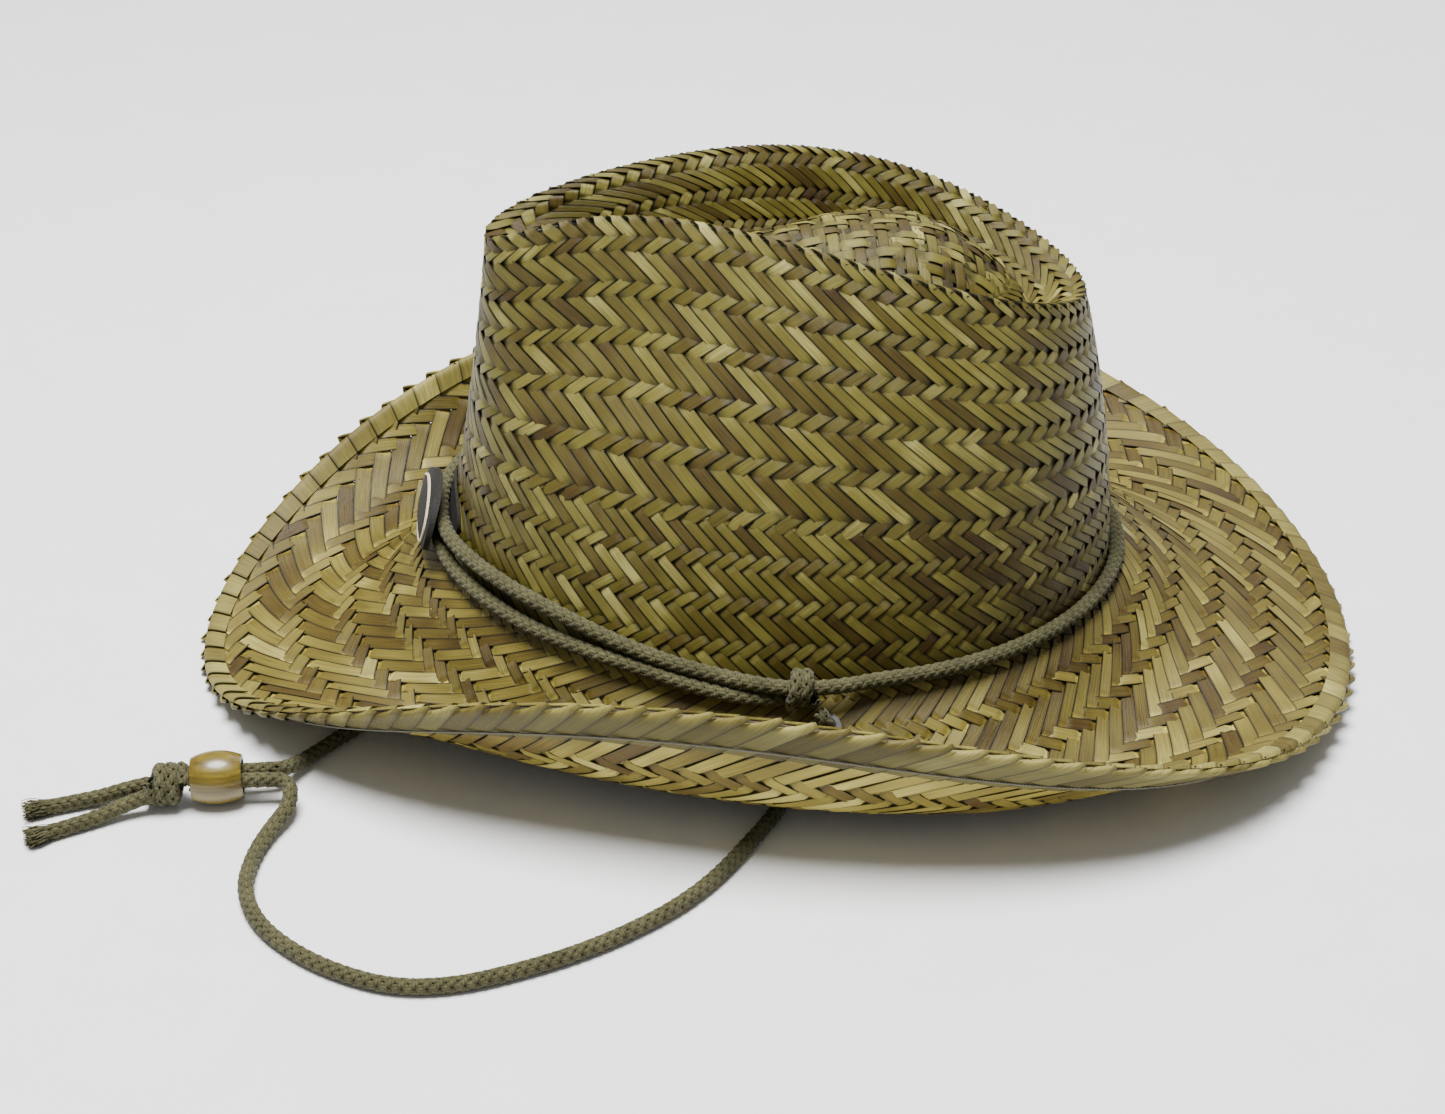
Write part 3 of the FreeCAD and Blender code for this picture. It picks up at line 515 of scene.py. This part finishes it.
# the row of the increase is one where the short floats lie on top
above_it = rows_of(upper, 1.36, INCREASE, ABOVE, SLANT)[0][-1]
for way, label in ((1, "long"), (-1, "short")):
    straw_piece(plaited("crown_upper_" + label, upper, 1.36, INCREASE - 0.02, ABOVE, way,
                        phase=4.5 - 2 * above_it, tips=False), crown_straw, "straw_crown")
    straw_piece(plaited("crown_lower_" + label, lower, INCREASE, 0.0, BELOW, way, phase=4.5),
                crown_straw, "straw_crown")

# the top inside the ridge is a square plait of straws laid along and across the hat
turn = np.linspace(-math.pi, math.pi, 721)
edge_line = ridge(turn) / MM
bearing = np.arctan2(edge_line[:, 0], -(edge_line[:, 1] - 25))
edge_reach = np.hypot(edge_line[:, 0], edge_line[:, 1] - 25)


def on_top(x, y):
    """The place on the top above a point of the plan, and how far it is inside the ridge."""
    aim = np.arctan2(x, -(y - 25))
    t = np.interp(aim, bearing, turn)
    share = 1 - np.hypot(x, y - 25) / np.interp(aim, bearing, edge_reach)
    place = crown(t, 1 + np.clip(share, 0.0, 1))
    place[..., 0], place[..., 1] = x * MM + LIFT.x, y * MM + LIFT.y
    return place, share


PITCH = 3.7                                # of the square plait, in millimetres
HOLLOW = 0.26                              # where the slope down from the ridge ends
for lengthwise in (True, False):
    strips, across, alongs, tones, depth = [], [], [], [], []
    for i in range(-30, 31):
        s = np.arange(-105, 108, 1.1)
        x, y = (np.full(s.shape, i * PITCH), s) if lengthwise else (s, np.full(s.shape, i * PITCH))
        place, share = on_top(x, y)
        inside = share > HOLLOW
        if inside.sum() < 5:
            continue
        first, last = np.argmax(inside), len(inside) - np.argmax(inside[::-1])
        x, y, s = x[first:last], y[first:last], s[first:last]
        here, share = place[first:last], share[first:last]
        ahead = unit(np.gradient(here, axis=0))
        shift = (here * 0 + ((1, 0, 0) if lengthwise else (0, 1, 0))) * 0.0005
        beside = on_top(x + shift[:, 0] / MM, y + shift[:, 1] / MM)[0] - here
        normal = unit(np.cross(beside, ahead))
        normal = normal * np.sign(normal[:, 2:])
        side = np.cross(ahead, normal)
        k = (s / PITCH + i * (1 if lengthwise else -1) + (0 if lengthwise else 2)) % 4
        top = eased((k + 0.78) / 0.5) * (1 - eased((k - 1.28) / 0.5)) + eased((k - 3.28) / 0.5)
        sink = -0.0009 * (1 - eased((share - 0.28) / 0.10))
        rise = (2 * top - 1) * 0.0004 + sink
        half = PITCH * MM * 0.47 * chance.uniform(0.92, 1.0)
        lean = chance.normal(0, 0.05)
        rows = [here + side * half * w
                + normal * (rise + 0.00014 * (1 - w * w) + lean * half * w)[:, None]
                for w in (-1.0, 0.0, 1.0)]
        strips.append(np.stack(rows, axis=1))
        shape = strips[-1].shape[:2]
        across.append(np.broadcast_to(np.array([-1.0, 0.0, 1.0]), shape))
        alongs.append(np.broadcast_to((s * MM + i * 1.3)[:, None], shape))
        tones.append(np.full(shape, chance.uniform(0, 1)))
        # under: where the straw passes below its neighbours; its finish darkens it there as painted
        # shade
        depth.append(np.broadcast_to((1 - top)[:, None], shape))
    name = "crown_top_along" if lengthwise else "crown_top_across"
    piece = lay_strips(name, strips, across=across, along=alongs, tone=tones, under=depth)
    thicken(piece, STRAW)
    straw_piece(piece, crown_straw, "straw_crown")


# ---- Straw brim ---------------------------------------------------------------------------
# The same plait runs on over the brim, where the straws spread. It dips away from the crown
# and rolls up at the sides.

def rim(t):
    return as_points(142.1 * np.sin(t) - 20 * np.sin(2 * t) + 7.6 * np.sin(3 * t),
                     -7.3 - 183.7 * np.cos(t) + 5.1 * np.cos(2 * t) - 1.3 * np.cos(3 * t),
                     25.9 * (1 - np.cos(2 * t)) + 3.6 * (np.cos(t) - np.cos(3 * t)))


def brim(t, s):
    """s from 0 at the head line to 1 at the rim."""
    t, s = np.broadcast_arrays(t, s)
    start, end = head_line(t), rim(t)
    out = end - start
    out[..., 2] = 0
    reach = np.linalg.norm(out, axis=-1)
    out = out / reach[..., None]
    fall = np.radians(39.2 + 5.3 * np.cos(t) - 11.9 * np.cos(2 * t))
    climb = np.radians(36.0 + 4.5 * np.cos(t) - 46.5 * np.cos(2 * t))
    first, last = 30.6 * MM, 61.2 * MM
    run = (3 * s * (1 - s) ** 2 * first * np.cos(fall)
           + 3 * s * s * (1 - s) * (reach - last * np.cos(climb)) + s ** 3 * reach)
    low, high = start[..., 2], end[..., 2]
    z = (low * (1 - s) ** 3 + 3 * s * (1 - s) ** 2 * (low - first * np.sin(fall))
         + 3 * s * s * (1 - s) * (high - last * np.sin(climb)) + high * s ** 3)
    place = start + out * run[..., None]
    place[..., 2] = z
    return place + np.array(LIFT)


brim_straw = straw_finish("brim_straw", [
    (0.0, (0.062, 0.030, 0.004)), (0.25, (0.125, 0.084, 0.010)), (0.5, (0.215, 0.168, 0.025)),
    (0.75, (0.360, 0.292, 0.055)), (1.0, (0.64, 0.56, 0.17))], 0.35, (0.006, 0.004, 0.001))
spread = evened(brim, 0.0, 1.0)
for way, label in ((1, "long"), (-1, "short")):
    straw_piece(plaited("brim_" + label, spread, 0.0, 0.985, BELOW, way, slant=math.radians(35),
                        phase=3.0, tips=False), brim_straw, "straw_brim")

# at the rim each straw turns over the edge and lies slanting on the face below, sewn down, and
# a point of it shows on top; the profiles are millimetres in from the rim and off the straw
FOLDS = BELOW
OUTER = np.array([(0.9, -0.1), (0.8, -0.9), (1.3, -1.5), (3.0, -1.85), (5.0, -1.95),
                  (8.0, -1.95), (11.0, -1.95), (14.5, -1.9)])
INNER = np.array([(7.5, 1.0), (5.0, 1.2), (3.0, 1.3), (1.8, 1.2), (1.0, 0.8), (0.7, 0.0)])
strips, across, alongs, tones, depth = [], [], [], [], []
for profile, columns, tips, drift in (
        (OUTER, (-1.0, -0.45, 0.1, 0.55, 0.8, 1.0), (-1.2, -0.8, 0.1, 1.4, 2.0, 0.3), -2.1),
        (INNER, (-1.0, -0.3, 0.4, 1.0), (0.0, 0.0, 0.0, 0.0), -0.7)):
    run = np.concatenate([[0], np.cumsum(np.linalg.norm(np.diff(profile, axis=0), axis=1))])
    q = np.linspace(0, run[-1], 22 if profile is OUTER else 10)
    back, off = np.interp(q, run, profile[:, 0]), np.interp(q, run, profile[:, 1])
    fade = (1 - eased(q / 4.5)) if profile is OUTER else 0 * q
    for i in range(FOLDS):
        tip_size, lean = chance.uniform(0.7, 1.2), chance.normal(0, 0.12)
        rows = []
        for x, tip in zip(columns, tips):
            u = (i + drift * q / 15 + x * 0.56) / FOLDS
            s = 1 - (back - tip * tip_size * fade) * MM / 0.18
            e = 1e-3
            here = spread(u, s)
            normal = unit(np.cross(spread(u + e, s) - spread(u - e, s),
                                   spread(u, s + e) - spread(u, s - e)))
            normal = normal * np.sign(normal[:1, 2:])
            raised = off + (x * 0.45 + 0.1 * (1 - x * x)) * np.sign(off) + lean * x * fade
            rows.append(here + normal * (raised * MM)[:, None])
        strips.append(np.stack(rows, axis=1))
        shape = strips[-1].shape[:2]
        across.append(np.broadcast_to(np.array(columns), shape))
        alongs.append(np.broadcast_to((q * MM + i * 1.3)[:, None], shape))
        tones.append(np.full(shape, chance.uniform(0.1, 0.9)))
        # painted shade: the part of each fold that lies on the face below is darkened more the
        # further back it lies, and the part on top a little
        shade = eased((q - 1.5) / 3) if profile is OUTER else 0.2 + 0 * q
        depth.append(np.broadcast_to(shade[:, None], shape))
hem = lay_strips("folded_edge", strips, across=across, along=alongs, tone=tones, under=depth)
thicken(hem, 0.0004)
# The folded edge has a darker copy of the brim's straw: painted shade for the rolled edge, which
# faces down and away from the lamp.
shaded_hem_straw = straw_finish("shaded_hem_straw", [
    (0.0, (0.050, 0.028, 0.005)), (0.25, (0.098, 0.074, 0.013)), (0.5, (0.165, 0.138, 0.030)),
    (0.75, (0.260, 0.225, 0.060)), (1.0, (0.52, 0.46, 0.16))], 0.42, (0.030, 0.025, 0.006))
straw_piece(hem, shaded_hem_straw, "brim_hem")


# ---- Band cord, front cord and hitch knots ------------------------------------------------
# The same plaited cord goes round the foot of the crown, and a second run crosses the front
# from one hitch knot to the other.

def wall_point(t, up, off):
    length = np.linalg.norm(ridge(t) - head_line(t), axis=-1)
    v = up * MM / length
    e = 1e-3
    a = crown(t + e, v) - crown(t - e, v)
    b = crown(t, v + e) - crown(t, v - e)
    normal = unit(np.cross(a, b))
    return crown(t, v) + normal * (off * MM)[..., None]


turn = np.linspace(0, 360, 73)[:-1]
from_front = np.abs((turn + 180) % 360 - 180)
rise = eased((84 - from_front) / 44) * (1 - 0.3 * np.exp(-(from_front / 22) ** 2))
push = np.exp(-((from_front - 88) / 8.5) ** 4) * 3.6 + 1.25 * np.exp(-(from_front / 20) ** 4)
band_line = wall_point(np.radians(turn), 2.0 + 9.0 * rise, 3.4 + push)
band = plait("band_plait", smooth_line("band", [tuple(p) for p in band_line], True), closed=True)
FRONT_RUN = [(0.0, -0.1073, 0.0425), (0.0142, -0.1059, 0.0424), (0.0279, -0.1014, 0.0419),
             (0.0406, -0.0943, 0.0413), (0.0525, -0.0854, 0.0406), (0.0632, -0.0744, 0.0398),
             (0.0723, -0.0615, 0.0388), (0.0792, -0.0486, 0.0373), (0.0847, -0.0365, 0.0348),
             (0.0883, -0.0256, 0.0328), (0.0905, -0.0163, 0.0314), (0.0908, -0.0069, 0.0312)]
whole_run = [(-x, y, z) for x, y, z in reversed(FRONT_RUN[1:])] + FRONT_RUN
front = plait("front_plait", smooth_line("front", whole_run))
for piece, node in ((band, "band_cord"), (front, "front_cord")):
    piece.data.materials.append(cotton)
    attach(piece, "hat")
    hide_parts(node)

# the hitch: the front run takes two turns round the band and leaves as the chin cord
HITCH = Vector((0.0924, -0.0017, 0.0355))
for side, sign in (("left", 1), ("right", -1)):
    axis = Vector((0.0327 * sign, 0.9973, -0.0651)).normalized()
    out = Vector((0.95 * sign, -0.03, 0.25))
    out = (out - axis * out.dot(axis)).normalized()
    down = axis.cross(out) * sign
    if down.z > 0:
        down = -down
    centre = Vector((HITCH.x * sign, HITCH.y, HITCH.z))
    wraps = []
    reach = 0.00405
    for k in range(23):
        share = k / 22
        angle = math.radians(-20 + 800 * share)
        wraps.append(centre + axis * (-0.0031 + 0.0062 * share)
                     + down * (reach * math.cos(angle)) + out * (reach * math.sin(angle)))
    line = smooth_line("hitch_" + side, [tuple(p) for p in wraps])
    knot = plait("hitch_plait_" + side, line, 0.0041)
    knot.data.materials.append(cotton)
    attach(knot, "hat")
    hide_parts("hitch_knot_" + side)


# ---- Bead ---------------------------------------------------------------------------------
# A turned and varnished wooden bead slides on both cords, above the knot that ties them.

def dress(node, material):
    """A CAD node keeps its shape and gets its material."""
    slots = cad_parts[node].material_slots
    if len(slots) == 0:
        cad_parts[node].data.materials.append(material)
    for one in slots:
        one.material = material


wood, start, shader = finish_of("varnished_wood", Coat_Weight=0.35, Coat_Roughness=0.12)
place = start.node("ShaderNodeTexCoord", output=3)
turned = start.node("ShaderNodeMapping", Vector=place, Location=(-0.0802, 0.175, -0.0150),
                    Scale=(1.0, 0.10, 1.0))
rings = start.node("ShaderNodeTexWave", {"bands_direction": "Z"}, 1, Vector=turned, Scale=240.0,
                   Distortion=5.0, Detail=3.0)
pores = start.node("ShaderNodeTexNoise", Vector=turned, Scale=3200.0, Detail=2.0)
mottle = start.node("ShaderNodeTexNoise", Vector=turned, Scale=260.0, Detail=3.0)
grain = rings * 0.1 + pores * 0.25 + mottle * 0.65
colour = start.node("ShaderNodeValToRGB", {"stops": [
    (0.25, (0.055, 0.035, 0.002)), (0.5, (0.120, 0.083, 0.005)), (0.75, (0.22, 0.16, 0.014))]},
    Fac=grain)
connect(start, shader, pores, 0.12, 0.0002, Base_Color=colour, Roughness=pores * 0.2 + 0.25)
dress("bead", wood)


# ---- Eyelets ------------------------------------------------------------------------------
# Nickel-plated brass eyelets, set through the straw on each side with a washer below.

nickel, start, shader = finish_of("nickel")
place = start.node("ShaderNodeTexCoord", output=3)
scuffs = start.node("ShaderNodeTexNoise", Vector=place, Scale=1500.0, Detail=3.0)
haze = start.node("ShaderNodeTexNoise", Vector=place, Scale=260.0, Detail=2.0)
colour = start.node("ShaderNodeValToRGB", {"stops": [
    (0.25, (0.50, 0.49, 0.46)), (0.8, (0.78, 0.77, 0.74))]}, Fac=haze)
shader.inputs["Metallic"].default_value = 1.0
connect(start, shader, scuffs, 0.08, 0.0001, Base_Color=colour, Roughness=scuffs * 0.18 + 0.12)
for node in ("eyelet_left", "eyelet_right", "eyelet_washer_left", "eyelet_washer_right"):
    dress(node, nickel)


# ---- Sweatband, wire and stitching --------------------------------------------------------
# A woven cotton band is sewn inside the crown, a steel wire lies in the rim, and grey thread
# holds the folded edge.

webbing, start, shader = finish_of("sweatband_cloth", Sheen_Weight=0.2)
place = start.node("ShaderNodeTexCoord", output=3)
ribs = start.node("ShaderNodeTexWave", {"bands_direction": "Z"}, 1, Vector=place, Scale=420.0,
                  Distortion=0.6, Detail=1.0)
weft = start.node("ShaderNodeTexWave", {"bands_direction": "DIAGONAL"}, 1, Vector=place,
                  Scale=300.0, Distortion=0.8, Detail=1.0)
soil = start.node("ShaderNodeTexNoise", Vector=place, Scale=30.0, Detail=4.0)
colour = start.node("ShaderNodeValToRGB", {"stops": [
    (0.2, (0.13, 0.095, 0.05)), (0.8, (0.34, 0.27, 0.165))]},
    Fac=soil * 0.6 + ribs * 0.3 + weft * 0.15)
connect(start, shader, ribs + weft * 0.6, 0.4, 0.0003, Base_Color=colour,
        Roughness=soil * 0.1 + 0.82)
dress("sweatband", webbing)


def thread_finish(name, dark, light):
    material, start, shader = finish_of(name, Sheen_Weight=0.2)
    place = start.node("ShaderNodeTexCoord", output=3)
    twist = start.node("ShaderNodeTexWave", {"bands_direction": "DIAGONAL"}, 1, Vector=place,
                       Scale=900.0, Distortion=1.0, Detail=1.0)
    colour = start.node("ShaderNodeValToRGB", {"stops": [(0.1, dark), (0.9, light)]}, Fac=twist)
    connect(start, shader, twist, 0.4, 0.0001, Base_Color=colour, Roughness=twist * 0.2 + 0.6)
    return material


grey_thread = thread_finish("grey_thread", (0.06, 0.055, 0.035), (0.17, 0.16, 0.11))
dress("hem_stitching", grey_thread)
dress("sweatband_stitching", grey_thread)
# The steel wire is coloured dark brown rather than steel grey, as painted shade, so that it stays
# dark where it shows between the folds.
steel, start, shader = finish_of("rim_wire", Metallic=1.0)
place = start.node("ShaderNodeTexCoord", output=3)
wire_mottle = start.node("ShaderNodeTexNoise", Vector=place, Scale=300.0, Detail=3.0)
colour = start.node("ShaderNodeValToRGB", {"stops": [
    (0.3, (0.060, 0.040, 0.025)), (0.8, (0.17, 0.14, 0.11))]}, Fac=wire_mottle)
connect(start, shader, wire_mottle, 0.1, 0.0001, Base_Color=colour, Roughness=wire_mottle * 0.3 + 0.5)
dress("brim_wire", steel)


# ---- Leather patch ------------------------------------------------------------------------
# A small oval of charcoal leather lies over both cords at the front. Its edge is stitched in
# cream thread, and a felt backing lies under the cords.

leather, start, shader = finish_of("charcoal_leather", Specular_IOR_Level=0.25)
place = start.node("ShaderNodeTexCoord", output=3)
pebbles = start.node("ShaderNodeTexVoronoi", {"feature": "SMOOTH_F1"}, 0, Vector=place,
                     Scale=1400.0)
creases = start.node("ShaderNodeTexNoise", Vector=place, Scale=420.0, Detail=5.0)
worn = start.node("ShaderNodeTexNoise", Vector=place, Scale=90.0, Detail=3.0)
colour = start.node("ShaderNodeValToRGB", {"stops": [
    (0.2, (0.007, 0.0065, 0.006)), (0.6, (0.015, 0.014, 0.012)), (0.95, (0.040, 0.036, 0.031))]},
    Fac=worn * 0.7 + pebbles * 0.4)
connect(start, shader, creases * 0.6 - pebbles * 0.5, 0.5, 0.0004, Base_Color=colour,
        Roughness=worn * 0.2 + 0.62)
dress("patch_front", leather)
dress("patch_stitching", thread_finish("cream_thread", (0.38, 0.30, 0.17), (0.72, 0.63, 0.44)))
felt, start, shader = finish_of("dark_felt", Specular_IOR_Level=0.2)
place = start.node("ShaderNodeTexCoord", output=3)
fluff = start.node("ShaderNodeTexNoise", Vector=place, Scale=1800.0, Detail=4.0)
colour = start.node("ShaderNodeValToRGB", {"stops": [
    (0.3, (0.010, 0.009, 0.008)), (0.8, (0.035, 0.032, 0.028))]}, Fac=fluff)
connect(start, shader, fluff, 0.6, 0.0003, Base_Color=colour, Roughness=fluff * 0.1 + 0.85)
dress("patch_back", felt)


# ---- Table and light ----------------------------------------------------------------------
# A plain pale table top under a large soft lamp, with light from all round.

build = bmesh.new()
bmesh.ops.create_grid(build, x_segments=1, y_segments=1, size=6.0)
mesh = bpy.data.meshes.new("table_top")
build.to_mesh(mesh)
build.free()
table = bpy.data.objects.new("table_top", mesh)
bpy.context.scene.collection.objects.link(table)
paper, start, shader = finish_of("pale_paper")
place = start.node("ShaderNodeTexCoord", output=3)
tooth = start.node("ShaderNodeTexNoise", Vector=place, Scale=40.0, Detail=2.0)
colour = start.node("ShaderNodeValToRGB", {"stops": [
    (0.3, (0.85, 0.85, 0.85)), (0.7, (0.87, 0.87, 0.87))]}, Fac=tooth)
connect(start, shader, Base_Color=colour)
mesh.materials.append(paper)

for name, place, aim, size, power in (
        ("key", (0.02, -0.22, 1.60), (0, 0, 0.05), 0.9, 78),
        ("back", (-1.2, 0.6, 1.0), (0, 0, 0.1), 1.0, 5)):
    lamp = bpy.data.lights.new(name, "AREA")
    lamp.shape = "DISK"
    lamp.size = size
    lamp.energy = power
    stand = bpy.data.objects.new(name, lamp)
    bpy.context.scene.collection.objects.link(stand)
    stand.location = place
    stand.rotation_euler = (Vector(aim) - Vector(place)).to_track_quat("-Z", "Y").to_euler()
world = bpy.data.worlds.new("studio")
bpy.context.scene.world = world
world.use_nodes = True
world.node_tree.nodes["Background"].inputs["Color"].default_value = (1.0, 1.0, 1.0, 1)
world.node_tree.nodes["Background"].inputs["Strength"].default_value = 0.3
